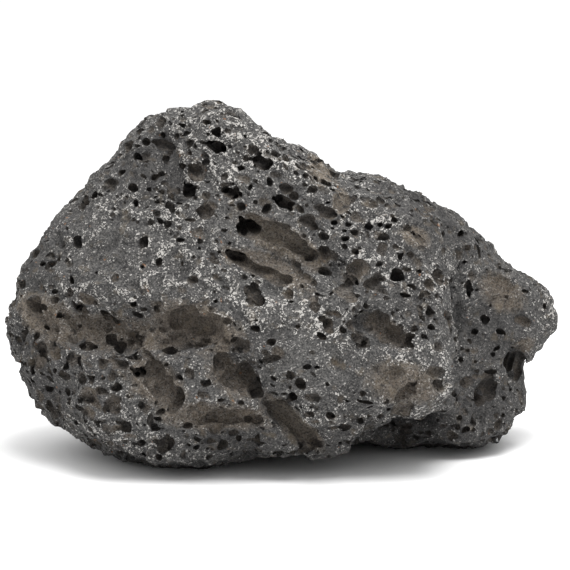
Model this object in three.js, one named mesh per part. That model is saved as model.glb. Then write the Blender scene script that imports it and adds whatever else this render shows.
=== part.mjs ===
// A lump of vesicular basalt lava: one broken, bubble-pitted stone in a single closed body.
// Millimetres, +Z up. The stone lies on the worn flats of its underside at z = 0, and its broad
// peaked face looks along -Y. Every point of the skin is found by one ray that leaves the heart.
import * as THREE from "three";
import { mergeVertices } from "three/addons/utils/BufferGeometryUtils.js";
import { ImprovedNoise } from "three/addons/math/ImprovedNoise.js";

const HEART = new THREE.Vector3(0, 0, 48); // the inner point that all the rays leave
const FRONT_DEPTH = 52; // from the heart to the belly of the broad face
const BACK_DEPTH = 54;
const SQUARENESS = 2.5; // 2 makes the middle a plain ellipsoid, more makes it boxier
const LEAN_BACK = 0.16; // how far the girdle lies back per millimetre towards the right tip
const CREASE = 28; // how sharply two broken faces meet, higher is sharper
const MESH_DETAIL = 20; // 20 * (detail + 1) ^ 2 triangles
const RAY_SPREAD = new THREE.Vector3(1.45, 0.95, 1.0); // evens out the triangles along the length

// The girdle: the outline of the stone from the front, anticlockwise from its right tip, as [x, z].
const GIRDLE = [
  [92, 46], [89.5, 52], [84.5, 57], [74.5, 62.5], [65, 71.5], [55, 80], [43, 88], [31, 93.5],
  [19, 92], [4, 99.5], [-8, 108], [-13.5, 116], [-22, 118.5], [-31, 115.5], [-43.5, 113.5],
  [-51, 107], [-61, 96.5], [-66.5, 89], [-80, 75.5], [-88.3, 63], [-91.5, 48], [-90, 32],
  [-86, 20], [-77.5, 11], [-69, 7], [-60, 3], [-48, -0.5], [-30, -4], [0, -3], [30, -3], [58, 0],
  [74, 6], [80, 16], [81.5, 27], [85, 33], [91, 40],
];

// The broken faces: each passes through a point, and its normal turns from the front (0 is -Y,
// 90 is +X) and tilts up from level, in degrees.
const SHARED_FACES = [
  { name: "peak face", at: [-20, -21, 92], turn: -3, tilt: 27 },
  { name: "upper left face", at: [-58, -27, 70], turn: -32, tilt: 28 },
  { name: "belly", at: [-5, -47, 46], turn: 2, tilt: 4 },
  { name: "right shoulder", at: [36, -28, 76], turn: 15, tilt: 28 },
  { name: "left flank", at: [-82, -19, 30], turn: -50, tilt: -18 },
  { name: "front undercut", at: [-10, -36, 10], turn: -3, tilt: -48 },
  { name: "lower left", at: [-60, -20, 5], turn: -30, tilt: -50 },
  { name: "back wall", at: [0, 50, 50], turn: 178, tilt: 8 },
  { name: "back left", at: [-62, 38, 55], turn: -142, tilt: 16 },
  { name: "back right", at: [58, 41, 45], turn: 154, tilt: 12 },
  { name: "back slope", at: [-5, 30, 98], turn: 172, tilt: 44 },
];
// Two blocks make the stone: the main one stops at a steep wall, and the wing runs on behind it.
const BLOCKS = [
  [...SHARED_FACES, { name: "lobe wall", at: [54, -22, 40], turn: 74, tilt: 2 }],
  [...SHARED_FACES, { name: "wing front", at: [57, -12, 42], turn: 25, tilt: 6 }],
];

// Lumps swell out of the stone and caves are cut into it. Both are ellipsoids, given by centre,
// half sizes and a roll about Y in degrees, positive from +X towards +Z.
const LUMPS = [
  { name: "peak knob", at: [-20, -1, 107.5], half: [8, 11, 10], roll: 0 },
  { name: "right lobe", at: [33, -17, 38], half: [22, 27, 22], roll: 0 },
  { name: "right foot", at: [52, 15, 13], half: [25, 24, 17], roll: 0 },
  { name: "left bulge", at: [-37, -21, 21], half: [29, 25, 21], roll: -6 },
  { name: "middle bulge", at: [3, -24, 22], half: [22, 22, 17], roll: 0 },
];
const CAVES = [
  { name: "under the lobe", at: [39, -43, -3], half: [23, 33, 23], roll: 6 },
  { name: "behind the lobe", at: [41, -30, 5], half: [19, 24, 14], roll: 0 },
  { name: "beside the lobe", at: [58, -38, 7], half: [13, 25, 21], roll: 0 },
  { name: "under the belly", at: [7, -14, -8], half: [36, 40, 16.5], roll: 3 },
  { name: "under the left front", at: [-40, -50, -6], half: [48, 29, 14], roll: -8 },
  { name: "under the foot", at: [50, -14, -7], half: [36, 24, 11.5], roll: 4 },
  { name: "by the right edge", at: [79.5, -4, 28], half: [7.5, 10, 9], roll: -15 },
];
// Scoops are shallow bowls, sunk into the skin by their depth.
const SCOOPS = [
  { name: "middle dish", at: [0, -33, 73], half: [17, 14, 8], roll: -28, depth: 6 },
  { name: "lower scoop", at: [-4, -36, 65], half: [17, 14, 6], roll: -24, depth: 3 },
  { name: "left crease", at: [-60, -36, 46], half: [32, 18, 7], roll: -3, depth: 5 },
  { name: "belly pocket", at: [-15, -47, 37], half: [11, 14, 8], roll: -35, depth: 5 },
  { name: "left pocket", at: [-39, -46, 36], half: [11, 14, 8], roll: -30, depth: 5 },
  { name: "right pocket", at: [28, -42, 50], half: [12, 14, 7], roll: -30, depth: 4 },
  { name: "brown pocket", at: [-33, -42, 50], half: [9, 12, 7], roll: -30, depth: 3 },
  { name: "low pocket", at: [-37, -43, 19], half: [8, 12, 7], roll: -20, depth: 4 },
  { name: "diagonal trough", at: [3, -45, 21], half: [18, 14, 6], roll: -45, depth: 6 },
  { name: "hollow underneath", at: [2, 3, -4], half: [22, 20, 16], roll: 0, depth: 8 },
  { name: "left hollow underneath", at: [-27, 24, -4], half: [15, 14, 14], roll: 0, depth: 6 },
  { name: "back hollow", at: [27, 51, 44], half: [30, 18, 22], roll: 20, depth: 7 },
  { name: "back dent", at: [-34, 50, 62], half: [20, 18, 15], roll: -15, depth: 5 },
  { name: "back low dent", at: [-52, 42, 22], half: [17, 16, 13], roll: 10, depth: 4 },
  { name: "edge groove", at: [58, -13, 50], half: [5, 14, 20], roll: -4, depth: 4 },
];

const UNDULATION = { size: 34, height: 2.6 }; // long swells
const RIPPLE = { size: 11, height: 1.1 }; // short swells
const BASALT = { color: 0x4b4a49, roughness: 0.95, metalness: 0 };

const perlin = new ImprovedNoise();

function facing(turn, tilt) {
  const azimuth = THREE.MathUtils.degToRad(turn);
  const elevation = THREE.MathUtils.degToRad(tilt);
  return new THREE.Vector3(
    Math.sin(azimuth) * Math.cos(elevation),
    -Math.cos(azimuth) * Math.cos(elevation),
    Math.sin(elevation),
  );
}

// How far a level ray at this direction in the XZ plane runs before it leaves the girdle.
function girdleReach(across, up) {
  for (let i = 0; i < GIRDLE.length; i++) {
    const [ax, az] = [GIRDLE[i][0] - HEART.x, GIRDLE[i][1] - HEART.z];
    const next = GIRDLE[(i + 1) % GIRDLE.length];
    const [bx, bz] = [next[0] - HEART.x, next[1] - HEART.z];
    const afterA = ax * up - az * across >= 0;
    const beforeB = across * bz - up * bx > 0;
    if (afterA && beforeB) {
      return (ax * bz - az * bx) / (across * (bz - az) - up * (bx - ax));
    }
  }
  throw new Error("the girdle doesn't close round the heart");
}

// The plain body: the girdle in the middle, drawn in to a blunt front and back.
function bodyReach(ray) {
  const level = Math.hypot(ray.x, ray.z);
  const across = ray.y - LEAN_BACK * Math.max(ray.x, 0);
  const depth = across < 0 ? FRONT_DEPTH : BACK_DEPTH;
  const girdle = girdleReach(ray.x / level, ray.z / level);
  const sum = (level / girdle) ** SQUARENESS + (Math.abs(across) / depth) ** SQUARENESS;
  return sum ** (-1 / SQUARENESS);
}

// A vector in the ellipsoid's own axes, where the ellipsoid is a unit ball.
function inBall(vector, { half, roll }) {
  const turnBack = new THREE.Euler(0, THREE.MathUtils.degToRad(roll), 0);
  return vector.clone().applyEuler(turnBack).divide(new THREE.Vector3(...half));
}

// Where the ray enters and leaves an ellipsoid, or null if it misses.
function crossing(ray, ellipsoid) {
  const start = inBall(HEART.clone().sub(new THREE.Vector3(...ellipsoid.at)), ellipsoid);
  const step = inBall(ray, ellipsoid);
  const a = step.dot(step);
  const b = start.dot(step);
  const root = b * b - a * (start.dot(start) - 1);
  if (root <= 0) {
    return null;
  }
  return { enters: (-b - Math.sqrt(root)) / a, leaves: (-b + Math.sqrt(root)) / a };
}

// 1 at the middle of a scoop, falling smoothly to 0 at its rim.
function bowl(point, scoop) {
  const offset = inBall(point.clone().sub(new THREE.Vector3(...scoop.at)), scoop);
  return Math.max(1 - offset.lengthSq(), 0) ** 2;
}

function swell(point, { size, height }) {
  const p = point.clone().divideScalar(size);
  return height * perlin.noise(p.x + 7.3, p.y + 2.1, p.z + 5.7);
}

// A block's reach: the body, rounded off by the block's own faces.
function blockReach(ray, faces) {
  const bluntSum = faces.reduce((sum, face) => {
    const normal = facing(face.turn, face.tilt);
    const distance = normal.dot(new THREE.Vector3(...face.at).sub(HEART));
    return sum + Math.max(normal.dot(ray) / distance, 0) ** CREASE;
  }, bodyReach(ray) ** -CREASE);
  return bluntSum ** (-1 / CREASE);
}

// The distance from the heart to the skin along a unit ray.
function skinReach(ray) {
  let reach = Math.max(...BLOCKS.map((faces) => blockReach(ray, faces)));
  for (const lump of LUMPS) {
    const hit = crossing(ray, lump);
    if (hit && hit.enters < reach && hit.leaves > 0) {
      reach = (reach ** CREASE + hit.leaves ** CREASE) ** (1 / CREASE);
    }
  }
  for (const cave of CAVES) {
    const hit = crossing(ray, cave);
    if (hit && hit.leaves > reach && hit.enters > 0) {
      reach = Math.min(reach, hit.enters);
    }
  }
  const point = ray.clone().multiplyScalar(reach).add(HEART);
  const sunk = SCOOPS.reduce((sum, scoop) => sum + scoop.depth * bowl(point, scoop), 0);
  return reach - sunk + swell(point, UNDULATION) + swell(point, RIPPLE);
}

// A fine ball of rays, each stretched out to the skin and worn flat where it would pass the ground.
function stoneGeometry() {
  const ball = new THREE.IcosahedronGeometry(1, MESH_DETAIL);
  ball.deleteAttribute("normal");
  ball.deleteAttribute("uv");
  const stone = mergeVertices(ball, 1e-5);
  const skin = stone.getAttribute("position");
  for (let i = 0; i < skin.count; i++) {
    const ray = new THREE.Vector3().fromBufferAttribute(skin, i).multiply(RAY_SPREAD).normalize();
    const point = ray.multiplyScalar(skinReach(ray)).add(HEART);
    skin.setXYZ(i, point.x, point.y, Math.max(point.z, 0));
  }
  // Centred in plan, so that the origin is the middle of the stone's footprint box.
  stone.computeBoundingBox();
  const middle = stone.boundingBox.getCenter(new THREE.Vector3());
  stone.translate(-middle.x, -middle.y, 0);
  stone.computeVertexNormals();
  return stone;
}

const stone = new THREE.Mesh(stoneGeometry(), new THREE.MeshStandardMaterial(BASALT));
stone.name = "lava_rock";

const lavaRock = new THREE.Group();
lavaRock.add(stone);

export default lavaRock;
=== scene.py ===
"""A lump of vesicular basalt lava: the looks of one broken, bubble-pitted stone.

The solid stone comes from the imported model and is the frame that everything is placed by. A
copy of it is roughened, its gas bubble holes are cut into it as real hollows, and it is given
a procedural basalt. Lengths in the settings are in metres; the helpers work in millimetres.
"""

import math
import random

import bmesh
import bpy
import numpy as np
from mathutils import Euler, Matrix, Vector, noise
from mathutils.bvhtree import BVHTree


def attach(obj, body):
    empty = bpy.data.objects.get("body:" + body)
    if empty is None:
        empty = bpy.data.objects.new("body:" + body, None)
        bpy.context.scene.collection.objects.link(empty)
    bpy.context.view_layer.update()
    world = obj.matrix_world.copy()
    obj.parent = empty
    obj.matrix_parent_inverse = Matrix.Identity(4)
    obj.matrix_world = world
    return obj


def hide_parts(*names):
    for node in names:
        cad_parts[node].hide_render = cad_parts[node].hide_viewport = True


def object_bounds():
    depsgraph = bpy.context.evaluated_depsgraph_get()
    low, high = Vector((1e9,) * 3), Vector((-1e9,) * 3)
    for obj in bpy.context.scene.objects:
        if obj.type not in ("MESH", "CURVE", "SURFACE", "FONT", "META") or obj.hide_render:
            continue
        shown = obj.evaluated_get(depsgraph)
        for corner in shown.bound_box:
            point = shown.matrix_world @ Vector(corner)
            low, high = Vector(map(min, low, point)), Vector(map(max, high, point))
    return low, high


bl_info = {
    "name": "Lava Rock",
    "version": (1, 0, 0),
    "blender": (4, 5, 0),
    "location": "3D View > Sidebar > Lava Rock",
    "description": "Builds a bubble-pitted lump of basalt lava and the plain stage it lies on",
    "category": "Add Mesh",
}

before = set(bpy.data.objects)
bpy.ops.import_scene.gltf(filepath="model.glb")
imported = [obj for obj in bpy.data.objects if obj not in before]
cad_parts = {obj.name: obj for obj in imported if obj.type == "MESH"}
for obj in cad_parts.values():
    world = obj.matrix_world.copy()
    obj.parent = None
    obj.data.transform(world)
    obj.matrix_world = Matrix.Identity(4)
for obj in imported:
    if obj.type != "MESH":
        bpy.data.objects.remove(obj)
SOLID_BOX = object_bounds()

NODE = "lava_rock"
MM = 0.001
TRIANGLE_LIMIT = 196000

# What stands out on the broad face. All of it is placed as seen from the front, in
# millimetres: (x, z) of the middle, (width, height), and the roll about Y in degrees.

# Soft forms, with how far each one stands out (or sinks, where it is negative).
FORMS = [
    ("ledge", (-55, 62), (56, 12), -3, 2.5),
    ("recess under the ledge", (-50, 48), (62, 17), -3, -5.5),
    ("pale band", (-10, 58), (44, 14), -30, 2.0),
    ("recess by the belly", (-27, 50), (24, 13), -10, -3.5),
    ("dish", (-3, 76), (30, 14), -28, -2.5),
    ("scoop", (-7, 69), (28, 8), -22, -1.5),
    ("break right of the scoop", (18, 67), (18, 9), -15, -3.5),
    ("belly hollow", (-15, 36), (21, 13), -35, -2.5),
    ("left hollow", (-39, 34), (18, 13), -45, -2.0),
    ("lower left boss", (-56, 23), (32, 22), 0, 3.0),
    ("middle boss", (14, 27), (26, 20), 0, 3.5),
    ("diagonal valley", (2, 20), (34, 9), -45, -4.0),
    ("lobe", (38, 36), (31, 24), 0, 3.5),
    ("lip of the lobe", (36, 29), (28, 6), 5, 1.8),
    ("pocket above the lobe", (30, 49), (20, 10), -28, -3.0),
    ("low brown band", (-20, 23), (34, 8), -3, -2.5),
    ("dent in the wing", (67, 24), (9, 10), 0, -3.0),
    ("notch in the edge", (77, 30), (9, 13), 15, -3.0),
    ("peak block", (-20, 111), (18, 14), 0, 2.5),
    ("gully left of the peak", (-37, 100), (7, 30), 20, -2.5),
    ("left peak block", (-46, 102), (14, 16), 20, 1.5),
    ("shoulder", (38, 80), (40, 12), -30, 1.5),
    ("edge of the lobe", (49, 36), (7, 20), 0, 1.8),
    ("right knob of the lobe", (45.5, 30), (14, 13), 0, 3.0),
    ("left knob of the lobe", (28, 29), (15, 11), -10, 2.0),
    ("dip in the lobe", (37, 28), (7, 10), 20, -2.2),
    ("crease beside the lobe", (56, 40), (4, 34), -6, -2.6),
    ("recess under the lobe", (40, 15.5), (34, 9), 0, -4.5),
]

# Long smooth-walled hollows with a crisp rim, and how deep each one is.
TROUGHS = [
    ("dish", (-0.5, 76.2), (27.5, 7.4), -27, 3.4),
    ("scoop", (-8, 67.2), (21, 4.8), -22, 2.6),
    ("scoop, right part", (5.5, 66), (9.5, 3.6), -35, 2.2),
    ("belly hollow", (-16, 35.5), (17, 9), -35, 3.6),
    ("left hollow", (-38.5, 32), (15.5, 8.5), -45, 3.2),
    ("pocket", (32.5, 48.5), (13, 6.5), -36, 3.2),
    ("recess by the belly", (-28, 51), (16, 9), -25, 2.4),
    ("valley", (2, 20), (20, 5.5), -45, 2.5),
    ("low band", (-20, 23), (20, 5), -2, 1.6),
    ("dent in the wing", (67, 24), (7, 7), -40, 2.5),
    ("notch", (77, 30.5), (8, 10), -10, 5.0),
]

# Hollows made of several bubbles run together, with how deep each one goes.
HOLLOWS = [
    ("mouth of the dish", (-12.5, 79.5), (9.5, 6.5), -15, 15),
    ("mouth of the scoop", (-15.5, 71.5), (7.5, 4), -25, 8),
    ("dark end of the belly hollow", (-9.5, 31.5), (5.5, 8), -25, 9),
    ("dark end of the left hollow", (-34.5, 28.5), (4.6, 8), -25, 7),
    ("square hole", (-46.5, 36.5), (4.8, 4.2), -10, 11),
    ("foot of the valley", (10, 12), (5, 4), -40, 6),
    ("low valley hole", (6.5, 10.5), (4.4, 3.8), 0, 5),
    ("pocket, dark end", (38, 46), (4, 6.5), -25, 6),
    ("pocket, left", (24, 46.5), (7.5, 5), -40, 4),
    ("arc in the recess", (-56, 52), (8, 3.6), -35, 6),
    ("slot in the recess", (-67, 55), (5, 2.2), -50, 6),
    ("long hole", (-14, 45.5), (8, 4.4), -25, 4),
    ("below the pale band", (-9.5, 60), (9.5, 5.6), -40, 4),
    ("right of the break", (21, 64.5), (7.5, 4.6), -45, 4.5),
    ("bowl in the lobe", (39, 31.5), (5, 5.5), -30, 3.2),
    ("right bowl in the lobe", (48, 32), (4.4, 4.6), 0, 2.6),
    ("upper bowl in the lobe", (35, 37.5), (5.5, 3.6), -35, 2.4),
    ("low left bowl", (-38, 13.5), (6.5, 7.5), -30, 5),
    ("left bowl", (-54.6, 26.6), (5.6, 7.4), -42, 4.5),
    ("bowl under the ledge", (-62.6, 42.5), (6.5, 5), -20, 4.5),
    ("bowl by the long hole", (-48.5, 45.5), (5.2, 5), 0, 4),
    ("pit in the low front", (-2, 9.5), (5.4, 3.6), -10, 3.5),
    ("brown notch", (-27, 44), (7, 4), -30, 4),
    ("left flank hollow", (-78, 40), (6, 8), 20, 4),
    ("peak hollow", (-22, 105), (8, 4.2), -20, 7),
    ("gully hole", (-31, 91), (6, 6), -50, 8),
    ("twin hole", (-17.5, 91), (7, 4), -20, 8),
    ("right of the peak", (-8, 100), (8, 5), -25, 7),
    ("above the dish", (-0.5, 88), (8, 4.6), -30, 8),
    ("left edge hole", (-66, 85), (5, 6.4), 20, 5),
    ("brown pit", (42, 77), (7.5, 4), -25, 3),
    ("round pit", (49, 64), (5.2, 6.2), -50, 3.5),
    ("border crack", (53, 50), (3, 9), 0, 4),
    ("upper crack", (60.5, 57), (2.4, 7), 5, 4),
]

# Single deep holes as (x, z, width, height, roll), area by area.
PEAK_HOLES = [
    (-48, 101, 4, 3, -40), (-49, 91.5, 4, 3, -30), (-45, 106, 3.4, 2.6, -20), (-42, 95, 2.2, 3, -60),
    (-29, 97.5, 5, 4, -40), (-25.5, 100, 2.8, 2.8, 0), (-35, 108, 2, 2, 0), (-39.5, 108, 2, 2, 0),
    (-31, 103, 1.6, 2.6, 10), (-29, 105, 1.4, 2, 0), (-33, 98.5, 2.6, 2.4, 0), (-40, 96, 2.4, 2, 0),
    (-25, 86, 2.6, 3.6, -50), (-14, 86.5, 3.4, 3, -20), (-6, 85.5, 2.4, 4, -40), (-14, 98, 2.8, 2.8, 0),
    (-3, 102.5, 3, 2.4, -30), (-40, 82, 3, 1.8, -30), (-48, 87, 2, 2.6, 0), (-41, 87.5, 2, 1.6, 0),
    (-25, 112.5, 4.4, 1.8, -15), (-13, 108, 1.8, 1.6, 0), (8.6, 92, 3.6, 2.8, 10), (-5, 94, 2, 3.4, 0),
    (-11, 92.5, 1.8, 2.6, -20), (-53, 96, 2.6, 3, -60), (-37, 91, 1.8, 1.6, 0), (-34, 87, 2.4, 1.8, -10),
]
MIDDLE_HOLES = [
    (12.6, 71.5, 5, 4, -40), (13, 66.6, 4.8, 3.2, -20), (27, 63, 4, 3.4, -30), (19, 61.7, 5.8, 2.8, 0),
    (35.5, 65, 4.8, 4.6, 0), (30, 69.5, 3, 1.8, 35), (22, 79, 3, 2.2, -25), (9, 80.5, 3.3, 3, 0),
    (12.3, 77.5, 3.4, 2.8, -15), (6, 77.5, 2, 1.4, 0), (19, 77, 2.8, 2, 0), (19, 74.6, 2.4, 1.8, 0),
    (15.7, 81.5, 2.6, 2, 0), (34.8, 82.5, 2.4, 2, 0), (30.2, 81, 2.4, 2, 0), (33, 80.5, 2.3, 2.3, 0),
    (42.8, 66.5, 1.8, 1.4, 0), (43.4, 59, 1.6, 3, -20), (46, 54.5, 4, 3.4, -40), (46.3, 49.5, 2.4, 2.4, 0),
    (29, 93.5, 1.6, 1.4, 0), (45.6, 86.5, 1.6, 2, 0), (-8, 66, 2, 1.6, 0), (-22, 58, 2, 1.2, 0),
    (-4.3, 46, 3, 3, 0), (-9, 50, 3.4, 2, -15), (11.5, 48, 3.6, 2.2, -30), (18, 50, 2.6, 2, -30),
    (38, 59.5, 4.4, 1.6, -15), (4, 51, 2, 1.6, 0), (2, 58, 2, 1.4, 0), (24, 55, 2, 1.6, 0),
]
LEFT_HOLES = [
    (-67, 74, 4.4, 4, -40), (-62, 88.5, 2.6, 3.6, -60), (-82, 54, 3.4, 5.4, 25), (-79, 66.5, 2.6, 2.2, 0),
    (-68.3, 63, 1.8, 3.4, 10), (-48, 57, 3, 2.4, -20), (-46.8, 53.5, 4, 2.4, -15), (-31.5, 55.6, 3.6, 3.2, 0),
    (-45, 75, 3.6, 4.6, 30), (-37.4, 81, 2.8, 2.8, 0), (-40, 69.5, 2.2, 3, -30), (-45.4, 68, 1.4, 1.4, 0),
    (-60, 66, 1.6, 1.6, 0), (-33.5, 76.5, 3, 1.6, 0), (-52.6, 42, 4, 5, -35), (-57.7, 38.5, 3.6, 3.4, 0),
    (-36, 42.5, 6.4, 4, -10), (-47.7, 41, 2.4, 2.4, 0), (-37.4, 38.8, 2, 1.4, 0), (-77, 47, 2.6, 1.6, -45),
    (-80, 44, 2.2, 4, 20), (-66, 48, 2, 1.4, 0), (-61, 34, 2, 1.6, 0), (-70, 36, 1.8, 3, -20),
    (-74, 34, 1.6, 2.6, -30), (-78, 38, 2.4, 2, 0), (-84, 46, 2.4, 4, 10), (-82, 32, 2.4, 3, 0),
]
LOW_HOLES = [
    (-24.5, 34, 3.3, 3, 0), (-33, 35, 3.4, 1.8, -15), (-20, 28.5, 2.4, 1.2, 0), (-40, 22, 2.8, 2, -15),
    (-45, 26.5, 2.4, 2.6, 0), (-59.5, 19.5, 3, 3, 0), (-37, 14, 3.6, 4.6, -30), (-45.3, 13.5, 3, 2.6, 0),
    (-40, 8, 2.6, 2.6, 0), (-76.7, 20.5, 3.2, 3, 0), (-67.3, 16.5, 2.4, 2, 0), (-62.7, 29, 2.4, 1.8, 0),
    (-3.5, 35, 2.2, 1.6, -30), (5, 33.5, 3.4, 3.8, 30), (10.1, 38.5, 2, 1.2, 0), (13.3, 33.5, 1.4, 1.6, 0),
    (2.7, 29, 4.4, 3.8, 0), (-13.5, 27.4, 2.2, 1.6, 0), (-2.7, 27, 1.4, 2, 0), (-4.6, 23.6, 2.4, 2.6, 0),
    (-11.4, 21.5, 2.8, 2.4, 0), (-14.7, 14.5, 2, 3.2, 0), (-8.6, 14.6, 2.8, 3.2, -20), (0, 13, 2, 1.2, 0),
    (14.3, 23.5, 2.6, 2.2, 0), (24, 20, 2.4, 2.4, 0), (25.3, 27.5, 5.6, 1.4, -5), (26.8, 25.4, 2.4, 1.2, 0),
    (32.8, 24, 1.8, 1.8, 0), (17.6, 12, 1.6, 1, 0), (40.7, 11, 3.2, 2.2, 0), (47.4, 9, 2, 3, 0),
    (59.5, 11, 3.4, 2.8, 0), (43.6, 7, 2.6, 2.4, 0), (-28, 12, 2.2, 2.2, 0), (-22, 17, 1.6, 1.6, 0),
    (-70, 27, 3.2, 2.8, -30), (-66, 22.5, 2.8, 2.2, 0), (-50, 20, 3, 2.4, -20), (-55, 12, 2.6, 2.8, 0),
    (-30.5, 20, 3.4, 2, -10), (-24, 8, 2.6, 2, 0), (-17, 8.5, 2.4, 2.4, 0), (8, 24, 2.8, 2.2, -30),
]
WING_HOLES = [
    (66.3, 46.5, 4, 3.6, 0), (71.2, 42.5, 3.6, 2, -20), (62.5, 43, 2.2, 2.2, 0), (55.4, 39, 2, 2, 0),
    (58.2, 38, 1.2, 1.4, 0), (57.7, 34.5, 2.2, 2, 0), (62.8, 33.5, 1.4, 1.4, 0), (70, 37, 2.8, 1.5, 25),
    (76.8, 36.5, 3, 1.8, 35), (68.2, 29.5, 4.4, 1.8, 0), (64, 21, 5, 4.4, -20), (72.6, 19.5, 2.2, 2, 0), (75.6, 21.5, 1.8, 1.6, 0),
    (87.5, 49, 1.6, 2.6, 5), (57.8, 75, 2.4, 2.4, 0), (64.3, 68.5, 1.4, 5, 10), (80, 55, 3, 1.4, -5),
    (63.2, 56.5, 1.8, 1, 0), (73.7, 53.5, 1.6, 1.6, 0), (59, 66, 1.6, 1.4, 0), (68, 51, 1.4, 1.4, 0),
]
# Shallow thumbprints, given in the same way.
DISHES = [
    (18.2, 87.5, 6, 7, 10), (23, 83.5, 5.4, 3.6, -20), (29.4, 78, 5.4, 3.4, -15), (31, 74, 4, 5, -30),
    (11.5, 97, 7, 5.5, -40), (-6, 88, 4.6, 4, 0), (-24, 87, 5, 3.6, -20), (-27.6, 78.5, 6, 4.4, -35),
    (-28.5, 97, 7, 6.4, -40), (-10, 83, 6, 3, -20),
    (-64, 50.5, 5, 3.6, -15), (-41.5, 57, 5, 3, -10), (-41.6, 38.5, 5.4, 2, -8),
    (-10.5, 39.5, 4, 2, -10), (16, 40, 4, 3.4, -20), (37.5, 30, 4.4, 4.6, 0), (49, 43.5, 5, 3.6, 0),
    (79.5, 45, 6, 3.6, -15), (57, 68.5, 4.6, 3.4, -20), (43, 69.5, 4.4, 4.2, 0), (34, 36, 8, 5, -30),
    (-74, 40, 7, 5, -20), (-80, 36, 6, 6, 0), (20, 60, 8, 4, -20), (8, 60, 7, 4, -25),
    (60, 27, 6, 4, 0), (-33, 62, 6, 4, -20), (72, 58, 12, 6, -35), (-2, 43, 6, 4, -35),
    (-20, 44, 7, 4, -30), (-64, 58, 7, 4, -20), (-50, 15, 8, 4, 0), (48, 36, 6, 5, -20),
]

# Areas of the front where the skin is nearly whole, with few scattered holes.
WHOLE_SKIN = [
    ("upper left face", (-54, 72), (44, 24), -20),
    ("pale band", (-8, 57), (40, 9), -30),
    ("lobe", (30, 38), (34, 12), 0),
    ("dish", (-2, 76), (32, 14), -28),
    ("wing", (74, 50), (28, 20), -20),
    ("tip", (88, 46), (14, 20), 0),
    ("belly hollow", (-15, 35), (16, 9), -35),
    ("left hollow", (-38, 32), (14, 9), -48),
]
# Areas of the front where small holes crowd together.
PITTED = [
    ("peak", (-26, 98), (58, 36), -5),
    ("right of the dish", (24, 78), (34, 26), -25),
    ("left edge", (-76, 42), (26, 40), 0),
    ("lower left", (-56, 22), (44, 26), 0),
    ("foot", (52, 12), (44, 16), 0),
]
# Areas of the front with most of the pale bloom.
PALE_AREAS = [
    ("top of the peak", (-18, 114), (24, 14), 0),
    ("rib left of the peak", (-32, 111), (8, 20), 0),
    ("right of the peak", (-8, 106), (26, 9), -35),
    ("below the peak hollow", (-25, 99), (26, 12), 10),
    ("upper slope", (9, 98), (26, 9), -32),
    ("streak on the left face", (-61, 81), (32, 6), 52),
    ("left face, right part", (-42, 86), (28, 9), -22),
    ("left of the pale band", (-33, 68), (32, 20), -10),
    ("pale band", (-19, 59), (34, 12), -35),
    ("middle of the belly", (5, 55), (30, 16), -20),
    ("right shoulder", (28, 82), (26, 9), -25),
    ("below the shoulder", (32, 69), (20, 9), -30),
    ("right border", (50, 66), (12, 14), -30),
    ("top of the lobe", (42, 41), (20, 7), 0),
    ("rim of the lobe", (50, 34), (5, 20), 0),
    ("white spot", (19, 28), (7, 6), -40),
    ("middle boss", (6, 21.5), (18, 9), -30),
    ("left rim", (-88, 56), (8, 26), 5),
    ("lower left", (-50, 14), (36, 9), -5),
    ("ledge", (-62, 60), (36, 6), -3),
    ("tip", (88, 46), (8, 16), 0),
    ("floor of the dish", (1, 75), (20, 7), -28),
    ("lower rim of the lobe", (36, 21.5), (26, 4), 2),
    ("lower rim of the belly", (20, 12), (4, 14), -40),
]
# Areas of the front painted darker as painted shade where less light falls: under the lobe, on the flanks, in
# recesses and low down.
SHADE_PAINTED_AREAS = [
    ("foot", (42, 8), (42, 20), 0),
    ("left flank", (-84, 32), (20, 46), 12),
    ("left edge", (-84, 60), (14, 24), -20),
    ("wing", (68, 42), (18, 18), 0),
    ("lower wing", (66, 20), (20, 20), 0),
    ("recess by the belly", (-26, 49), (34, 12), -10),
    ("below the middle boss", (14, 13), (20, 8), -20),
    ("low front", (-12, 13), (40, 12), 0),
    ("gully left of the peak", (-42, 97), (18, 20), 20),
    ("top right slope", (50, 82), (36, 12), -38),
]
# Areas of the front with a smooth brown-grey lining.
BROWN_AREAS = [
    ("dish", (-1.5, 76), (27, 9), -28),
    ("scoop", (-6, 68), (26, 6), -22),
    ("recess by the belly", (-28, 50), (26, 12), -15),
    ("left hollow", (-40, 33), (20, 11), -40),
    ("belly hollow", (-17, 35), (15, 8), -35),
    ("low band", (-22, 23), (34, 8), -3),
    ("valley", (2, 20), (24, 7), -45),
    ("recess under the ledge", (-56, 47), (44, 10), -5),
    ("shelf above the dish", (12, 97), (9, 7), -40),
    ("brown pit", (42, 77), (9, 5), -25),
    ("pit above the dish", (18, 88), (5, 6), 0),
    ("pocket", (32, 49), (14, 6), -28),
    ("lobe", (37, 33), (20, 12), -15),
    ("below the right edge", (80, 37), (7, 5), 20),
    ("wing", (72, 55), (16, 9), -35),
    ("left flank", (-76, 50), (20, 12), -20),
]


# ---------------------------------------------------------------------------------------
# Settings


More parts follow.
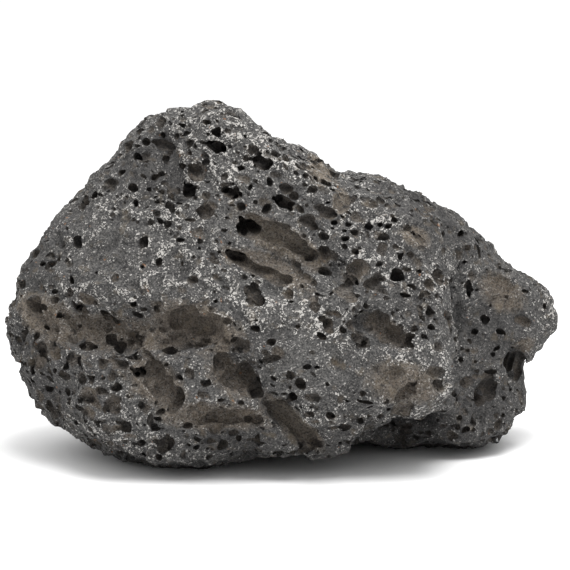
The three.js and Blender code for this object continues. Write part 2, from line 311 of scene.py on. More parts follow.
class StoneSettings(bpy.types.PropertyGroup):
    """Sizes of the stone's surface and its bubble holes."""

    grid: bpy.props.FloatProperty(
        name="Surface grid",
        description="Spacing of the fine surface before the holes are cut",
        default=0.8 * MM,
        min=0.5 * MM,
        subtype="DISTANCE",
        unit="LENGTH",
        precision=5,
    )
    relief: bpy.props.FloatProperty(
        name="Relief",
        description="Height of the craggy relief on the broken faces",
        default=1.6 * MM,
        subtype="DISTANCE",
        unit="LENGTH",
        precision=5,
    )
    grit: bpy.props.FloatProperty(
        name="Grit",
        description="Height of the fine roughness between the holes",
        default=0.35 * MM,
        subtype="DISTANCE",
        unit="LENGTH",
        precision=5,
    )
    holes: bpy.props.IntProperty(
        name="Holes",
        description="How many bubble holes are scattered over the whole stone",
        default=3000,
        min=0,
    )
    small_hole: bpy.props.FloatProperty(
        name="Usual hole",
        description="Width across a usual bubble hole",
        default=1.75 * MM,
        subtype="DISTANCE",
        unit="LENGTH",
        precision=5,
    )
    large_hole: bpy.props.FloatProperty(
        name="Largest hole",
        description="Width across the largest scattered hole",
        default=6.0 * MM,
        subtype="DISTANCE",
        unit="LENGTH",
        precision=5,
    )
    seed: bpy.props.IntProperty(
        name="Seed",
        description="Another seed scatters the holes another way",
        default=5,
    )


class BasaltColours(bpy.types.PropertyGroup):
    """Colours of the stone, as linear red, green and blue."""

    matrix: bpy.props.FloatVectorProperty(
        name="Basalt",
        description="Fresh grey rock between the holes",
        size=3,
        subtype="COLOR",
        default=(0.096, 0.094, 0.091),
    )
    # Also the colour that the painted shade in the dark areas pulls the rock towards.
    dark: bpy.props.FloatVectorProperty(
        name="Dark basalt",
        description="Darker patches of the rock",
        size=3,
        subtype="COLOR",
        default=(0.048, 0.046, 0.045),
    )
    lining: bpy.props.FloatVectorProperty(
        name="Hole lining",
        description="Brown-grey weathering inside the holes",
        size=3,
        subtype="COLOR",
        default=(0.122, 0.098, 0.074),
    )
    dust: bpy.props.FloatVectorProperty(
        name="Dust",
        description="Light brown-grey dust on the smooth hollow floors",
        size=3,
        subtype="COLOR",
        default=(0.20, 0.168, 0.132),
    )
    light: bpy.props.FloatVectorProperty(
        name="Light crystals",
        description="The lighter grains in the rock",
        size=3,
        subtype="COLOR",
        default=(0.19, 0.183, 0.173),
    )
    # On the rims of the holes and the ridges this is partly painted highlight.
    speckle: bpy.props.FloatVectorProperty(
        name="Pale speckle",
        description="Whitish mineral bloom on rims and ridges",
        size=3,
        subtype="COLOR",
        default=(0.52, 0.50, 0.47),
    )
    # Also the colour that the painted shade darkens towards where the stone closes in.
    shadow: bpy.props.FloatVectorProperty(
        name="Dark crystals",
        description="The darkest grains in the rock",
        size=3,
        subtype="COLOR",
        default=(0.014, 0.014, 0.015),
    )
    ochre: bpy.props.FloatVectorProperty(
        name="Ochre stain",
        description="Faint tan staining in patches",
        size=3,
        subtype="COLOR",
        default=(0.13, 0.10, 0.062),
    )
    rust: bpy.props.FloatVectorProperty(
        name="Rust spots",
        description="Rare orange-brown iron spots",
        size=3,
        subtype="COLOR",
        default=(0.24, 0.11, 0.045),
    )


class StageSettings(bpy.types.PropertyGroup):
    """The floor, the light and the camera."""

    floor: bpy.props.FloatVectorProperty(
        name="Floor",
        description="Colour of the plain pale floor",
        size=3,
        subtype="COLOR",
        default=(0.92, 0.92, 0.92),
    )
    top_light: bpy.props.FloatProperty(
        name="Top light",
        description="Brightness of the light dome overhead",
        default=1.7,
    )
    horizon_light: bpy.props.FloatProperty(
        name="Horizon light",
        description="Brightness of the light dome at the horizon",
        default=0.25,
    )
    key_light: bpy.props.FloatProperty(
        name="Key light",
        description="Power of the soft light above the front",
        default=6.0,
        unit="POWER",
    )
    camera_height: bpy.props.FloatProperty(
        name="Camera height",
        description="How far above level the camera looks from",
        default=math.radians(9),
        subtype="ANGLE",
        unit="ROTATION",
    )
    camera_distance: bpy.props.FloatProperty(
        name="Camera distance",
        description="From the camera to the middle of the stone",
        default=0.75,
        subtype="DISTANCE",
        unit="LENGTH",
    )
    view_width: bpy.props.FloatProperty(
        name="View width",
        description="Width seen across the frame at the stone",
        default=0.190,
        subtype="DISTANCE",
        unit="LENGTH",
    )


# ---------------------------------------------------------------------------------------
# Mesh helpers


def apply_modifier(piece, kind, **settings):
    """Gives a piece one modifier and keeps its result as the piece's own mesh."""
    modifier = piece.modifiers.new(kind.title(), kind)
    for name, value in settings.items():
        setattr(modifier, name, value)
    graph = bpy.context.evaluated_depsgraph_get()
    shaped = bpy.data.meshes.new_from_object(piece.evaluated_get(graph))
    piece.modifiers.clear()
    old = piece.data
    piece.data = shaped
    bpy.data.meshes.remove(old)


def vertex_array(mesh, name="co"):
    """The vertices' places (or normals, as "normal") as rows of an array, in metres."""
    values = np.empty(len(mesh.vertices) * 3, np.float32)
    mesh.vertices.foreach_get(name, values)
    return values.reshape(-1, 3)


def surface_tree(mesh):
    """A search tree of a mesh's faces."""
    shell = bmesh.new()
    shell.from_mesh(mesh)
    tree = BVHTree.FromBMesh(shell)
    shell.free()
    return tree


def copy_of_solid():
    """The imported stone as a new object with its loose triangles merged."""
    shell = bmesh.new()
    shell.from_mesh(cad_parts[NODE].data)
    bmesh.ops.remove_doubles(shell, verts=shell.verts, dist=0.01 * MM)
    raised = [v for v in shell.verts if v.co.z > 0.5 * MM]
    bmesh.ops.smooth_vert(
        shell, verts=raised, factor=0.5, use_axis_x=True, use_axis_y=True, use_axis_z=True
    )
    mesh = bpy.data.meshes.new("vesicular_stone")
    shell.to_mesh(mesh)
    shell.free()
    piece = bpy.data.objects.new("vesicular_stone", mesh)
    bpy.context.scene.collection.objects.link(piece)
    return piece


def in_patch(places, middle, size, roll):
    """How far each place is from the middle of a patch of the front: 1 is the patch's edge."""
    turn = math.radians(roll)
    x = places[:, 0] / MM - middle[0]
    z = places[:, 2] / MM - middle[1]
    along = x * math.cos(turn) + z * math.sin(turn)
    across = z * math.cos(turn) - x * math.sin(turn)
    return np.hypot(along / (size[0] / 2), across / (size[1] / 2))


def cover(places, patches):
    """1 inside the patches, falling to 0 a little outside them."""
    inside = np.zeros(len(places))
    for _name, middle, size, roll in patches:
        inside = np.maximum(inside, np.clip(1.6 - in_patch(places, middle, size, roll), 0, 1))
    return inside


def front_forms(places, normals):
    """How far the soft forms move each place of the front, in metres."""
    facing = np.clip((-normals[:, 1] - 0.05) / 0.3, 0, 1)
    rise = np.zeros(len(places))
    for _name, middle, size, roll, height in FORMS:
        distance = in_patch(places, middle, size, roll)
        rise += height * MM * np.clip(1.15 - distance**2, 0, 1) ** 1.5
    return rise * facing


def roughen(piece, relief, grit):
    """Moves the surface in and out: soft forms, crags and grit. The resting flats stay flat."""
    mesh = piece.data
    places = vertex_array(mesh).astype(float)
    normals = vertex_array(mesh, "normal").astype(float)
    places += normals * front_forms(places, normals)[:, None]
    heights = np.empty(len(places))
    for i, place in enumerate(places):
        point = Vector(place) / MM
        point += noise.noise_vector(point / 9) * 3
        near, second = noise.voronoi(point / 15)[0][:2]
        boss = min(second - near, 0.4) * 2.5 - 0.6
        swell = noise.noise(point / 17 + Vector((3.1, 0, 7)))
        crag = 0.5 - abs(noise.noise(point / 9 + Vector((11, 5, 0)))) * 2.2
        knob = 0.4 - abs(noise.noise(point / 4.2 + Vector((2, 9, 4)))) * 2
        lump = noise.noise(point / 2.4)
        unseen = min(max(normals[i][1] * 2, 0), 1)
        heights[i] = relief * (
            (boss * 0.7 + swell * 0.6 + crag * 0.8) * (1 + 0.7 * unseen) + knob * 0.5 + lump * 0.32
        )
        heights[i] += grit * noise.noise(point / 1.4)
    places += normals * heights[:, None]
    places[:, 2] = np.maximum(places[:, 2], 0)
    mesh.vertices.foreach_set("co", places.ravel())
    mesh.update()


# ---------------------------------------------------------------------------------------
# Bubble holes


class Bubble:
    """One gas bubble: an ellipsoid with a place, three half widths and a turn."""

    def __init__(self, centre, halves, turn, lumpiness=0.42):
        self.centre = centre
        self.halves = halves
        self.turn = turn
        self.lumpiness = lumpiness
        self.reach = max(halves)
        self.batch = 0

    def radius_towards(self, direction):
        """From the middle to the wall along a unit direction."""
        own = self.turn.inverted() @ direction
        return 1 / math.hypot(*(a / half for a, half in zip(own, self.halves)))

    def overlap(self, other):
        """How far two bubbles run into each other along the line between them."""
        apart = other.centre - self.centre
        way = apart.normalized()
        return self.radius_towards(way) + other.radius_towards(way) - apart.length

    def is_near(self, other):
        return self.reach + other.reach + 0.3 > (self.centre - other.centre).length


def bubble_templates():
    """Unit balls in two finenesses, which every bubble is a stretched copy of."""
    templates = []
    for subdivisions in (2, 3):
        ball = bmesh.new()
        bmesh.ops.create_icosphere(ball, subdivisions=subdivisions, radius=1)
        templates.append(ball)
    return templates


class Neighbourhood:
    """Finds the bubbles near a place by sorting them into cells."""

    CELL = 8

    def __init__(self):
        self.cells = {}

    def add(self, bubble):
        lowest = [int((c - bubble.reach) // self.CELL) for c in bubble.centre]
        highest = [int((c + bubble.reach) // self.CELL) for c in bubble.centre]
        for i in range(lowest[0], highest[0] + 1):
            for j in range(lowest[1], highest[1] + 1):
                for k in range(lowest[2], highest[2] + 1):
                    self.cells.setdefault((i, j, k), []).append(bubble)

    def near(self, place):
        x, y, z = (int(c // self.CELL) for c in place)
        for i in (x - 1, x, x + 1):
            for j in (y - 1, y, y + 1):
                for k in (z - 1, z, z + 1):
                    yield from self.cells.get((i, j, k), ())


def set_into(tree, x, z):
    """Where a level line from the front meets the stone at (x, z), and the way in, or None."""
    place, normal, _, _ = tree.ray_cast(Vector((x * MM, -1, z * MM)), Vector((0, 1, 0)))
    if place is None:
        return None
    inward = Vector((0, 1, 0)) - normal
    return place / MM, inward.normalized()


def oval_bubble(place, inward, width, height, depth, roll, sunk=0.36, lumpiness=0.42):
    """A bubble whose mouth is width by height. Sunk in, it widens inside; below 0 it is a dish."""
    turn = inward.to_track_quat("Y", "Z") @ Euler((0, math.radians(-roll), 0)).to_quaternion()
    half_depth = depth / (1 + sunk)
    widen = 1 / math.sqrt(1 - sunk**2)
    halves = Vector((width / 2 * widen, half_depth, height / 2 * widen))
    return Bubble(place + inward * half_depth * sunk, halves, turn, lumpiness)


def merged_bubbles(place, inward, size, depth, roll, dice):
    """A hollow: one broad bubble with smaller ones run into its floor and rim."""
    width, height = size
    main = oval_bubble(place, inward, width * 0.86, height * 0.86, depth * 0.8, roll, 0.1)
    bubbles = [main]
    for step in range(max(4, round(width * 0.8))):
        angle = step * 2.4 + dice.uniform(-0.4, 0.4)
        out = Vector((math.cos(angle) * width * 0.38, 0, math.sin(angle) * height * 0.38))
        share = dice.uniform(0.28, 0.56)
        bubbles.append(
            oval_bubble(
                place + main.turn @ out + inward * depth * dice.uniform(-0.05, 0.45),
                inward,
                (width * 0.4 + height * 0.6) * share,
                height * share * 1.1,
                depth * share * 1.3,
                roll + dice.uniform(-40, 40),
            )
        )
    return bubbles


def trough_bubbles(tree, middle, size, roll, depth, dice):
    """A trough: a row of broad bubbles run together along its length."""
    length, width = size
    turn = math.radians(roll)
    bubbles = []
    for step in range(5):
        along = (step / 4 - 0.5) * length * 0.66
        across = dice.uniform(-0.16, 0.16) * width
        x = middle[0] + along * math.cos(turn) - across * math.sin(turn)
        z = middle[1] + along * math.sin(turn) + across * math.cos(turn)
        spot = set_into(tree, x, z)
        if spot:
            share = dice.uniform(0.75, 1.0)
            deep = depth * dice.uniform(0.88, 1.0)
            tilt = roll + dice.uniform(-10, 10)
            bubbles.append(oval_bubble(*spot, length * 0.5, width * share, deep, tilt, -0.25, 0.3))
    return bubbles


def front_bubbles(tree, dice):
    """The troughs, hollows, holes and thumbprints that stand out on the broad face."""
    found = []
    for _name, (x, z), size, roll, depth in TROUGHS:
        found += trough_bubbles(tree, (x, z), size, roll, depth, dice)
    for _name, (x, z), size, roll, depth in HOLLOWS:
        spot = set_into(tree, x, z)
        if spot:
            found += merged_bubbles(*spot, size, depth, roll, dice)
    for area in (PEAK_HOLES, MIDDLE_HOLES, LEFT_HOLES, LOW_HOLES, WING_HOLES):
        for x, z, width, height, roll in area:
            spot = set_into(tree, x, z)
            if spot:
                depth = math.sqrt(width * height) * dice.uniform(0.85, 1.3)
                found.append(oval_bubble(*spot, width, height, depth, roll + dice.uniform(-8, 8)))
    for x, z, width, height, roll in DISHES:
        spot = set_into(tree, x, z)
        if spot:
            depth = math.sqrt(width * height) * dice.uniform(0.24, 0.34)
            found.append(oval_bubble(*spot, width, height, depth, roll, -0.35, 0.25))
    return found


def unseen_side_hollows(triangles, shares, dice, rng):
    """Hollows and large holes for the back, the ends and the underside, like the front's."""
    found, spots = [], []
    for index in rng.choice(len(triangles), size=900, p=shares):
        low, mid, high = (Vector(c) for c in triangles[index])
        place = (low + mid + high) / 3
        inward = (high - low).cross(mid - low).normalized()
        if inward.y > 0.35 or place.z < 1:
            continue
        width = max(3.2, min(13, dice.lognormvariate(1.45, 0.45)))
        if any((place - other).length < (width + wide) * 0.72 for other, wide in spots):
            continue
        spots.append((place, width))
        size = (width, width * dice.uniform(0.55, 0.85))
        roll = dice.uniform(-60, 10)
        if width > 6.5:
            found += merged_bubbles(place, inward, size, width * 0.55, roll, dice)
        else:
            found.append(oval_bubble(place, inward, *size, width * dice.uniform(0.7, 1.1), roll))
    return found


def skin_triangles(mesh):
    """The skin's triangles in millimetres, and each one's share of the whole area."""
    mesh.calc_loop_triangles()
    corners = np.empty(len(mesh.loop_triangles) * 3, np.int32)
    mesh.loop_triangles.foreach_get("vertices", corners)
    triangles = vertex_array(mesh)[corners.reshape(-1, 3)] / MM
    sides = np.cross(triangles[:, 1] - triangles[:, 0], triangles[:, 2] - triangles[:, 0])
    areas = np.linalg.norm(sides, axis=1)
    return triangles, areas / areas.sum()


def scattered_bubbles(triangles, shares, settings, taken, dice, rng):
    """Bubbles scattered over the whole skin: mostly small, some large, and long along the flow."""
    usual, largest = settings.small_hole / MM, settings.large_hole / MM
    placed = Neighbourhood()
    for bubble in taken:
        placed.add(bubble)
    picks = rng.choice(len(triangles), size=settings.holes * 4, p=shares)
    middles = triangles[picks].mean(axis=1) * MM
    whole, pitted = cover(middles, WHOLE_SKIN), cover(middles, PITTED)
    found = []
    for index, wholeness, crowding in zip(picks, whole, pitted):
        if len(found) == settings.holes:
            break
        low, mid, high = (Vector(c) for c in triangles[index])
        place = (low + mid + high) / 3
        outward = (mid - low).cross(high - low).normalized()
        if outward.y > 0.2:
            wholeness = crowding = 0
        crowd = 0.7 + 0.9 * noise.noise(place / 24 + Vector((9, 2, 4)))
        if dice.random() > crowd - 0.75 * wholeness + 0.4 * crowding:
            continue
        width = min(usual * math.exp(dice.gauss(0, 0.45)) * (1 - 0.4 * wholeness), largest)
        out = dice.uniform(-0.34, 0.05)
        if dice.random() < 0.25:
            width *= 1.8
            out = dice.uniform(0.2, 0.34)
        stretch = 1 + abs(dice.gauss(0, 0.4))
        halves = Vector((width / 2 * stretch, width / 2, width / 2 / math.sqrt(stretch)))
        flow = Vector((0.85 + dice.gauss(0, 0.35), dice.gauss(0, 0.5), dice.gauss(-0.5, 0.35)))
        centre = place + outward * width * out
        bubble = Bubble(centre, halves, flow.to_track_quat("X", "Z"))
        limit = dice.choice((0.0, 0.1, 0.4, 0.8)) * width
        if any(bubble.overlap(other) > limit for other in placed.near(centre)):
            continue
        placed.add(bubble)
        found.append(bubble)
    return found


def sort_into_batches(bubbles):
    """Gives touching bubbles different batches, so that no cutter crosses itself."""
    placed = Neighbourhood()
    for bubble in sorted(bubbles, key=lambda b: -b.reach):
        used = {other.batch for other in placed.near(bubble.centre) if bubble.is_near(other)}
        bubble.batch = next(n for n in range(len(bubbles) + 1) if n not in used)
        placed.add(bubble)
    return max(b.batch for b in bubbles) + 1


def cutter(bubbles, templates, name):
    """One object that holds a batch of bubbles, each a little lumpy."""
    whole = bmesh.new()
    scratch = bpy.data.meshes.new(name)
    for bubble in bubbles:
        ball = templates[1 if bubble.reach > 1.5 else 0].copy()
        matrix = (
            Matrix.Translation(bubble.centre)
            @ bubble.turn.to_matrix().to_4x4()
            @ Matrix.Diagonal((*bubble.halves, 1))
        )
        bmesh.ops.transform(ball, matrix=matrix, verts=ball.verts)
        lumpiness = bubble.lumpiness * min(bubble.halves)
        for vertex in ball.verts:
            shift = noise.noise_vector(vertex.co / bubble.reach)
            shift += noise.noise_vector(vertex.co / (bubble.reach * 0.4)) * 0.4
            vertex.co = (vertex.co + shift * lumpiness) * MM
        ball.to_mesh(scratch)
        ball.free()
        whole.from_mesh(scratch)
    whole.to_mesh(scratch)
    whole.free()
    piece = bpy.data.objects.new(name, scratch)
    bpy.context.scene.collection.objects.link(piece)
    return piece


def cut_bubbles(piece, bubbles):
    """Cuts every bubble out of the stone, one batch of separate bubbles at a time."""
    templates = bubble_templates()
    for batch in range(sort_into_batches(bubbles)):
        members = [b for b in bubbles if b.batch == batch]
        tool = cutter(members, templates, f"bubbles_{batch}")
        apply_modifier(piece, "BOOLEAN", operation="DIFFERENCE", solver="MANIFOLD", object=tool)
        mesh = tool.data
        bpy.data.objects.remove(tool)
        bpy.data.meshes.remove(mesh)
    for template in templates:
        template.free()


def keep_largest_body(piece):
    """Removes crumbs that the bubbles have cut loose from the stone."""
    shell = bmesh.new()
    shell.from_mesh(piece.data)
    unseen = set(shell.faces)
    bodies = []
    while unseen:
        start = unseen.pop()
        body, front = [start], [start]
        while front:
            face = front.pop()
            for edge in face.edges:
                for other in edge.link_faces:
                    if other in unseen:
                        unseen.remove(other)
                        body.append(other)
                        front.append(other)
        bodies.append(body)
    bodies.sort(key=len)
    crumbs = [face for body in bodies[:-1] for face in body]
    bmesh.ops.delete(shell, geom=crumbs, context="FACES")
    shell.to_mesh(piece.data)
    shell.free()


def clear_folds(piece):
    """Removes pairs of faces that thinning has folded flat onto each other."""
    shell = bmesh.new()
    shell.from_mesh(piece.data)
    by_corners = {}
    for face in shell.faces:
        by_corners.setdefault(frozenset(v.index for v in face.verts), []).append(face)
    folds = [face for faces in by_corners.values() if len(faces) > 1 for face in faces]
    bmesh.ops.delete(shell, geom=folds, context="FACES")
    shell.to_mesh(piece.data)
    shell.free()


def store(mesh, name, values):
    """Keeps one number per vertex as a named attribute, for the material to read."""
    attribute = mesh.attributes.new(name, "FLOAT", "POINT")
    attribute.data.foreach_set("value", values.astype(np.float32))


def occlusion_for_painted_shade(mesh, places, normals):
    """The share of the ways out of each point that the stone, or half as much the ground, blocks: how much
    painted shade the point gets.
    """
    tree = surface_tree(mesh)
    reach = 22 * MM
    turns = [(math.cos(k * math.tau / 6), math.sin(k * math.tau / 6)) for k in range(6)]
    blocked = np.zeros(len(places))
    for i, (place, normal) in enumerate(zip(places, normals)):
        out = Vector(normal)
        side = out.orthogonal().normalized()
        other = out.cross(side)
        start = Vector(place) + out * 0.25 * MM
        for c, s in turns:
            way = out * 0.6 + (side * c + other * s) * 0.8
            if tree.ray_cast(start, way, reach)[0] is not None:
                blocked[i] += 1
            elif start.z + way.z * reach < 0:
                blocked[i] += 0.5
    return blocked / len(turns)


def mark_surface(piece, skin):
    """Stores what the material reads at each point.

    depth_mm is how deep it lies under the uncut skin, ridge_mm how sharply it stands out,
    the occlusion share how closed in it is, for the painted shade, and the others how far it is
    in the named areas of the front, the dark ones being painted shade.
    """
    mesh = piece.data
    places = vertex_array(mesh).astype(float)
    normals = vertex_array(mesh, "normal").astype(float)
    depth = np.empty(len(places))
    front = np.empty(len(places))
    for i, place in enumerate(places):
        _, normal, _, distance = skin.find_nearest(Vector(place))
        depth[i] = distance / MM
        front[i] = -normal.y
    front = np.clip((front + 0.05) / 0.3, 0, 1)

    ends = np.empty(len(mesh.edges) * 2, np.int32)
    mesh.edges.foreach_get("vertices", ends)
    a, b = ends.reshape(-1, 2).T
    count = np.bincount(a, minlength=len(places)) + np.bincount(b, minlength=len(places))

    def mean_of_neighbours(values):
        total = np.bincount(a, values[b], len(places)) + np.bincount(b, values[a], len(places))
        return total / np.maximum(count, 1)

    pull = np.stack([mean_of_neighbours(places[:, k]) for k in range(3)], 1) - places
    ridge = -(pull * normals).sum(1) / MM
    ridge = 0.5 * ridge + 0.5 * mean_of_neighbours(ridge)
    painted_shade_share = occlusion_for_painted_shade(mesh, places, normals)
    painted_shade_share = 0.5 * painted_shade_share + 0.5 * mean_of_neighbours(painted_shade_share)
    store(mesh, "depth_mm", depth)
    store(mesh, "ridge_mm", ridge)
    store(mesh, "occlusion_for_painted_shade", painted_shade_share)
    store(mesh, "pale", cover(places, PALE_AREAS) * front)
    store(mesh, "brown", cover(places, BROWN_AREAS) * front)
    store(mesh, "dark", cover(places, SHADE_PAINTED_AREAS) * front)


# ---------------------------------------------------------------------------------------
# Shader helpers


class Wire:
    """A socket that can be used in sums: each operator adds its Math node."""

    def __init__(self, tree, socket):
        self.tree = tree
        self.socket = socket

    def math(self, operation, left, right):
        return self.tree.node(
            "ShaderNodeMath", {"operation": operation, "use_clamp": False}, {0: left, 1: right}
        )

    def __add__(self, other):
        return self.math("ADD", self, other)

    def __radd__(self, other):
        return self.math("ADD", other, self)

    def __sub__(self, other):
        return self.math("SUBTRACT", self, other)

    def __rsub__(self, other):
        return self.math("SUBTRACT", other, self)

    def __mul__(self, other):
        return self.math("MULTIPLY", self, other)

    def __rmul__(self, other):
        return self.math("MULTIPLY", other, self)


class ShaderTree:
    """The nodes of a material or a world, built one call at a time."""

    def __init__(self, owner):
        self.owner = owner
        owner.use_nodes = True
        self.nodes = owner.node_tree.nodes
        self.links = owner.node_tree.links
        self.nodes.clear()

    def node(self, kind, settings=None, sockets=None, output=0):
        """Adds a node: its settings first, then the values or links of its sockets."""
        made = self.nodes.new(kind)
        for name, value in (settings or {}).items():
            setattr(made, name, value)
        for name, value in (sockets or {}).items():
            if isinstance(value, Wire):
                self.links.new(value.socket, made.inputs[name])
            else:
                made.inputs[name].default_value = value
        return Wire(self, made.outputs[output]) if made.outputs else None

    def noise(self, coordinates, size_mm, detail=2.0, roughness=0.5, **settings):
        """Noise whose patches are about size_mm across, from 0 to 1."""
        sockets = {
            "Vector": coordinates,
            "Scale": 1 / (size_mm * MM),
            "Detail": detail,
            "Roughness": roughness,
        }
        return self.node("ShaderNodeTexNoise", settings, sockets)

    def crystals(self, coordinates, size_mm):
        """A random number from 0 to 1 for each crystal about size_mm across."""
        return self.node(
            "ShaderNodeSeparateColor",
            None,
            {
                "Color": self.node(
                    "ShaderNodeTexVoronoi",
                    {"feature": "F1"},
                    {"Vector": coordinates, "Scale": 1 / (size_mm * MM)},
                    output=1,
                )
            },
        )

    def ramp(self, value, low, high):
        """0 below low, 1 above high, and even in between."""
        return self.node(
            "ShaderNodeMapRange",
            {"clamp": True},
            {"Value": value, "From Min": low, "From Max": high, "To Min": 0, "To Max": 1},
        )

    def mix(self, factor, first, second):
        """Blends two colours."""
        first, second = (
            c if isinstance(c, Wire) else (*c[:3], 1) for c in (first, second)
        )
        return self.node(
            "ShaderNodeMix",
            {"data_type": "RGBA", "clamp_factor": True},
            {0: factor, 6: first, 7: second},
            output=2,
        )


def basalt_material(colours):
    """Grainy grey basalt with brown-grey hole linings, pale bloom on the ridges that is partly painted
    highlight, rare rust, and painted shade in closed-in places and the dark areas.
    """
    tree = ShaderTree(bpy.data.materials.new("vesicular_basalt"))
    place = tree.node("ShaderNodeTexCoord", output=3)
    depth, ridge, painted_shade_share, pale, brown, dark = (
        tree.node("ShaderNodeAttribute", {"attribute_name": name}, output=2)
        for name in ("depth_mm", "ridge_mm", "occlusion_for_painted_shade", "pale", "brown", "dark")
    )

    patches = tree.noise(place, 15, 3)
    mottle = tree.noise(place, 2.4, 4, 0.65)
    grain = tree.noise(place, 0.55, 3, 0.75)
    fine_crystal = tree.crystals(place, 0.42)
    crystal = tree.crystals(place, 0.7)

    # The bare rock, and the brown-grey lining of the holes and the brown areas.
    shade = tree.ramp(patches * 0.4 + mottle * 0.6, 0.36, 0.62)
    # Painted shade: the dark areas pull the rock towards the dark basalt colour, with fewer light crystals
    # and less bloom.
    shade = shade * (1 - dark * 0.6)
    rock = tree.mix(shade, colours.dark, colours.matrix)
    hollow = tree.ramp(depth + (mottle - 0.5) * 0.8, 0.1, 0.9)
    warm = tree.ramp(tree.noise(place, 9, 2), 0.3, 0.62)
    soft = tree.ramp(brown + (mottle - 0.5) * 1.2, 0.25, 0.75)
    rock = tree.mix(hollow * (warm * 0.5 + 0.35), rock, colours.lining)
    rock = tree.mix(soft * 0.75, rock, colours.lining)
    rock = tree.mix(soft * pale * 0.8, rock, colours.dust)

    # Dark and light crystals of the bare rock.
    rock = tree.mix(tree.ramp(fine_crystal, 0.5, 0.0) * 0.75, rock, colours.shadow)
    light = tree.ramp(fine_crystal, 0.55, 1.0) * (1 - dark * 0.5)
    rock = tree.mix(light * 0.5, rock, colours.light)
    rock = tree.mix(tree.ramp(crystal, 0.3, 0.0) * 0.5, rock, colours.shadow)

    # Pale bloom: in webs over the pale areas, and on the rims of the holes and the ridges, where it is partly
    # bloom and partly painted highlight.
    bloom = tree.ramp(tree.noise(place, 11, 4, 0.6), 0.42, 0.70)
    webs = tree.ramp(tree.noise(place, 3.0, 3, 0.6), 0.48, 0.64)
    off = tree.noise(place, 4.2, 4, 0.62) - 0.5
    veins = tree.ramp(off * off, 0.0018, 0.0)
    # Partly painted highlight: rims and ridges that stand out sharply are painted paler.
    raised = tree.ramp(ridge, 0.02, 0.16)
    share = webs * (bloom * 0.03 + pale * 0.075) + veins * (bloom * 0.06 + pale * 0.09 + 0.04)
    share = share + raised * (bloom * 0.05 + pale * 0.07 + 0.09)
    share = share * (1 - hollow * 0.7) * (1 - soft * 0.6) * (1 - dark * 0.4)
    bright = tree.ramp(fine_crystal * 0.7 + grain * 0.3 + share, 0.84, 1.02)
    clots = tree.ramp(crystal * 0.8 + mottle * 0.2 + share, 1.0, 1.12)
    pale_part = bright + clots * (1 - bright)
    rock = tree.mix(pale_part * 0.85, rock, colours.speckle)

    ochre = tree.ramp(tree.noise(place, 4.5, 3, 0.6), 0.58, 0.72)
    rock = tree.mix(ochre * 0.35, rock, colours.ochre)
    spots = tree.ramp(tree.noise(place, 2.2, 1), 0.75, 0.79)
    rock = tree.mix(spots * 0.55, rock, colours.rust)

    # Painted shade where the stone closes in round a point and near the ground, with less of it on the brown
    # floors.
    rock = tree.mix(tree.ramp(painted_shade_share, 0.22, 0.95) * (0.88 - soft * 0.3), rock, colours.shadow)

    bump_fine = tree.node(
        "ShaderNodeBump", None, {"Strength": 0.9, "Distance": 0.5 * MM, "Height": grain}
    )
    bump = tree.node(
        "ShaderNodeBump",
        None,
        {"Strength": 0.7, "Distance": 1.2 * MM, "Height": mottle, "Normal": bump_fine},
    )
    shader = tree.node(
        "ShaderNodeBsdfPrincipled",
        None,
        {
            "Base Color": rock,
            "Roughness": 0.92 - pale_part * 0.2,
            "Normal": bump,
            "Specular IOR Level": 0.3,
        },
    )
    tree.node("ShaderNodeOutputMaterial", None, {"Surface": shader})
    return tree.owner


def plain_material(name, colour, roughness):
    """A plain material for the floor."""
    tree = ShaderTree(bpy.data.materials.new(name))
    shader = tree.node(
        "ShaderNodeBsdfPrincipled", None, {"Base Color": (*colour, 1), "Roughness": roughness}
    )
    tree.node("ShaderNodeOutputMaterial", None, {"Surface": shader})
    return tree.owner


def light_dome(horizon, top):
    """A white sky that brightens from the ground to overhead."""
    tree = ShaderTree(bpy.data.worlds.new("studio"))
    direction = tree.node("ShaderNodeTexCoord", output=0)
    height = tree.node("ShaderNodeSeparateXYZ", None, {"Vector": direction}, output=2)
    strength = tree.node(
        "ShaderNodeMapRange", None, {"Value": height, "To Min": horizon, "To Max": top}
    )
    sky = tree.node("ShaderNodeBackground", None, {"Color": (1, 1, 1, 1), "Strength": strength})
    tree.node("ShaderNodeOutputWorld", None, {"Surface": sky})
    return tree.owner


# ---------------------------------------------------------------------------------------
# Operators


class LAVAROCK_OT_stone(bpy.types.Operator):
    """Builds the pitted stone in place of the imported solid"""

    bl_idname = "lavarock.stone"
    bl_label = "Build the stone"

    def execute(self, context):
        settings = context.scene.lava_stone
        noise.seed_set(settings.seed)
        piece = copy_of_solid()
        apply_modifier(piece, "REMESH", mode="VOXEL", voxel_size=settings.grid)
        roughen(piece, settings.relief, settings.grit)
        skin = surface_tree(piece.data)
        dice = random.Random(settings.seed)
        rng = np.random.default_rng(settings.seed)
        triangles, shares = skin_triangles(piece.data)
        bubbles = front_bubbles(skin, dice)
        bubbles += unseen_side_hollows(triangles, shares, dice, rng)
        bubbles += scattered_bubbles(triangles, shares, settings, bubbles, dice, rng)
        cut_bubbles(piece, bubbles)
        keep_largest_body(piece)
        apply_modifier(piece, "TRIANGULATE")
        count = len(piece.data.polygons)
        if count > TRIANGLE_LIMIT:
            apply_modifier(piece, "DECIMATE", ratio=TRIANGLE_LIMIT / count)
        clear_folds(piece)
        mark_surface(piece, skin)
        mesh = piece.data
        mesh.shade_smooth()
        mesh.set_sharp_from_angle(angle=math.radians(48))
        mesh.materials.clear()
        mesh.materials.append(basalt_material(context.scene.lava_colours))
        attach(piece, "root")
        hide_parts(NODE)
        self.report({"INFO"}, f"{len(bubbles)} holes, {len(mesh.polygons)} triangles")
        return {"FINISHED"}


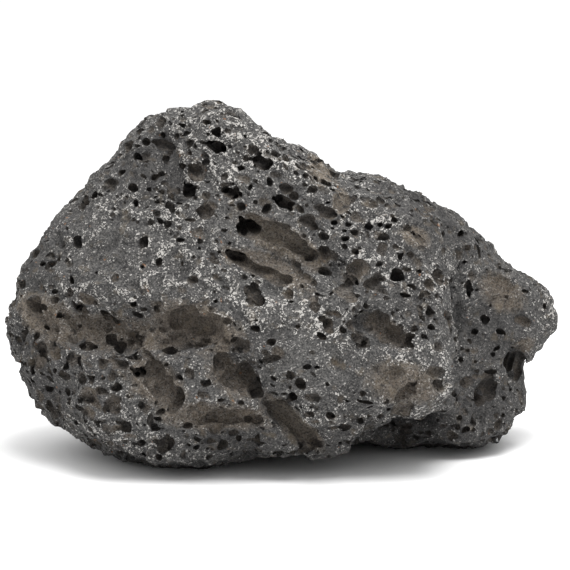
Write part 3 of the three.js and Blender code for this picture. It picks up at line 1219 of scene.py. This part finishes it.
class LAVAROCK_OT_stage(bpy.types.Operator):
    """Builds the plain pale floor, the soft studio light and the camera"""

    bl_idname = "lavarock.stage"
    bl_label = "Build the stage"

    def execute(self, context):
        settings = context.scene.lava_stage
        scene = context.scene
        low, high = SOLID_BOX
        middle = (low + high) / 2
        length = high.x - low.x

        shell = bmesh.new()
        bmesh.ops.create_grid(shell, x_segments=1, y_segments=1, size=length * 60)
        mesh = bpy.data.meshes.new("floor")
        shell.to_mesh(mesh)
        shell.free()
        mesh.materials.append(plain_material("pale_floor", settings.floor, 0.9))
        floor = bpy.data.objects.new("floor", mesh)
        scene.collection.objects.link(floor)

        scene.world = light_dome(settings.horizon_light, settings.top_light)
        offset = Vector((0.10, -0.28, 0.72))
        light = bpy.data.lights.new("key_light", "AREA")
        light.size = 0.40
        light.energy = settings.key_light
        lamp = bpy.data.objects.new("key_light", light)
        lamp.location = middle + offset
        lamp.rotation_mode = "QUATERNION"
        lamp.rotation_quaternion = (-offset).to_track_quat("-Z", "Y")
        scene.collection.objects.link(lamp)

        tilt = settings.camera_height
        back = Vector((0, -math.cos(tilt), math.sin(tilt)))
        target = Vector((middle.x, 0, high.z * 0.48))
        data = bpy.data.cameras.new("camera")
        data.sensor_width = 36
        data.lens = 36 * settings.camera_distance / settings.view_width
        data.clip_start = 0.01
        camera = bpy.data.objects.new("camera", data)
        camera.location = target + back * settings.camera_distance
        camera.rotation_mode = "QUATERNION"
        camera.rotation_quaternion = (-back).to_track_quat("-Z", "Y")
        scene.collection.objects.link(camera)
        scene.camera = camera
        scene.view_settings.view_transform = "Standard"
        return {"FINISHED"}


class LAVAROCK_PT_panel(bpy.types.Panel):
    """The settings and the two build steps"""

    bl_label = "Lava Rock"
    bl_idname = "LAVAROCK_PT_panel"
    bl_space_type = "VIEW_3D"
    bl_region_type = "UI"
    bl_category = "Lava Rock"

    def draw(self, context):
        layout = self.layout
        for operator, group in (
            (LAVAROCK_OT_stone, context.scene.lava_stone),
            (None, context.scene.lava_colours),
            (LAVAROCK_OT_stage, context.scene.lava_stage),
        ):
            box = layout.box()
            for name in group.bl_rna.properties.keys():
                if name not in ("rna_type", "name"):
                    box.prop(group, name)
            if operator:
                box.operator(operator.bl_idname)


CLASSES = (
    StoneSettings,
    BasaltColours,
    StageSettings,
    LAVAROCK_OT_stone,
    LAVAROCK_OT_stage,
    LAVAROCK_PT_panel,
)


def register():
    for cls in CLASSES:
        bpy.utils.register_class(cls)
    bpy.types.Scene.lava_stone = bpy.props.PointerProperty(type=StoneSettings)
    bpy.types.Scene.lava_colours = bpy.props.PointerProperty(type=BasaltColours)
    bpy.types.Scene.lava_stage = bpy.props.PointerProperty(type=StageSettings)


def unregister():
    del bpy.types.Scene.lava_stage
    del bpy.types.Scene.lava_colours
    del bpy.types.Scene.lava_stone
    for cls in reversed(CLASSES):
        bpy.utils.unregister_class(cls)


def main():
    """Builds everything in order."""
    register()
    bpy.ops.lavarock.stone()
    bpy.ops.lavarock.stage()
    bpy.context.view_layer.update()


if __name__ == "__main__":
    main()
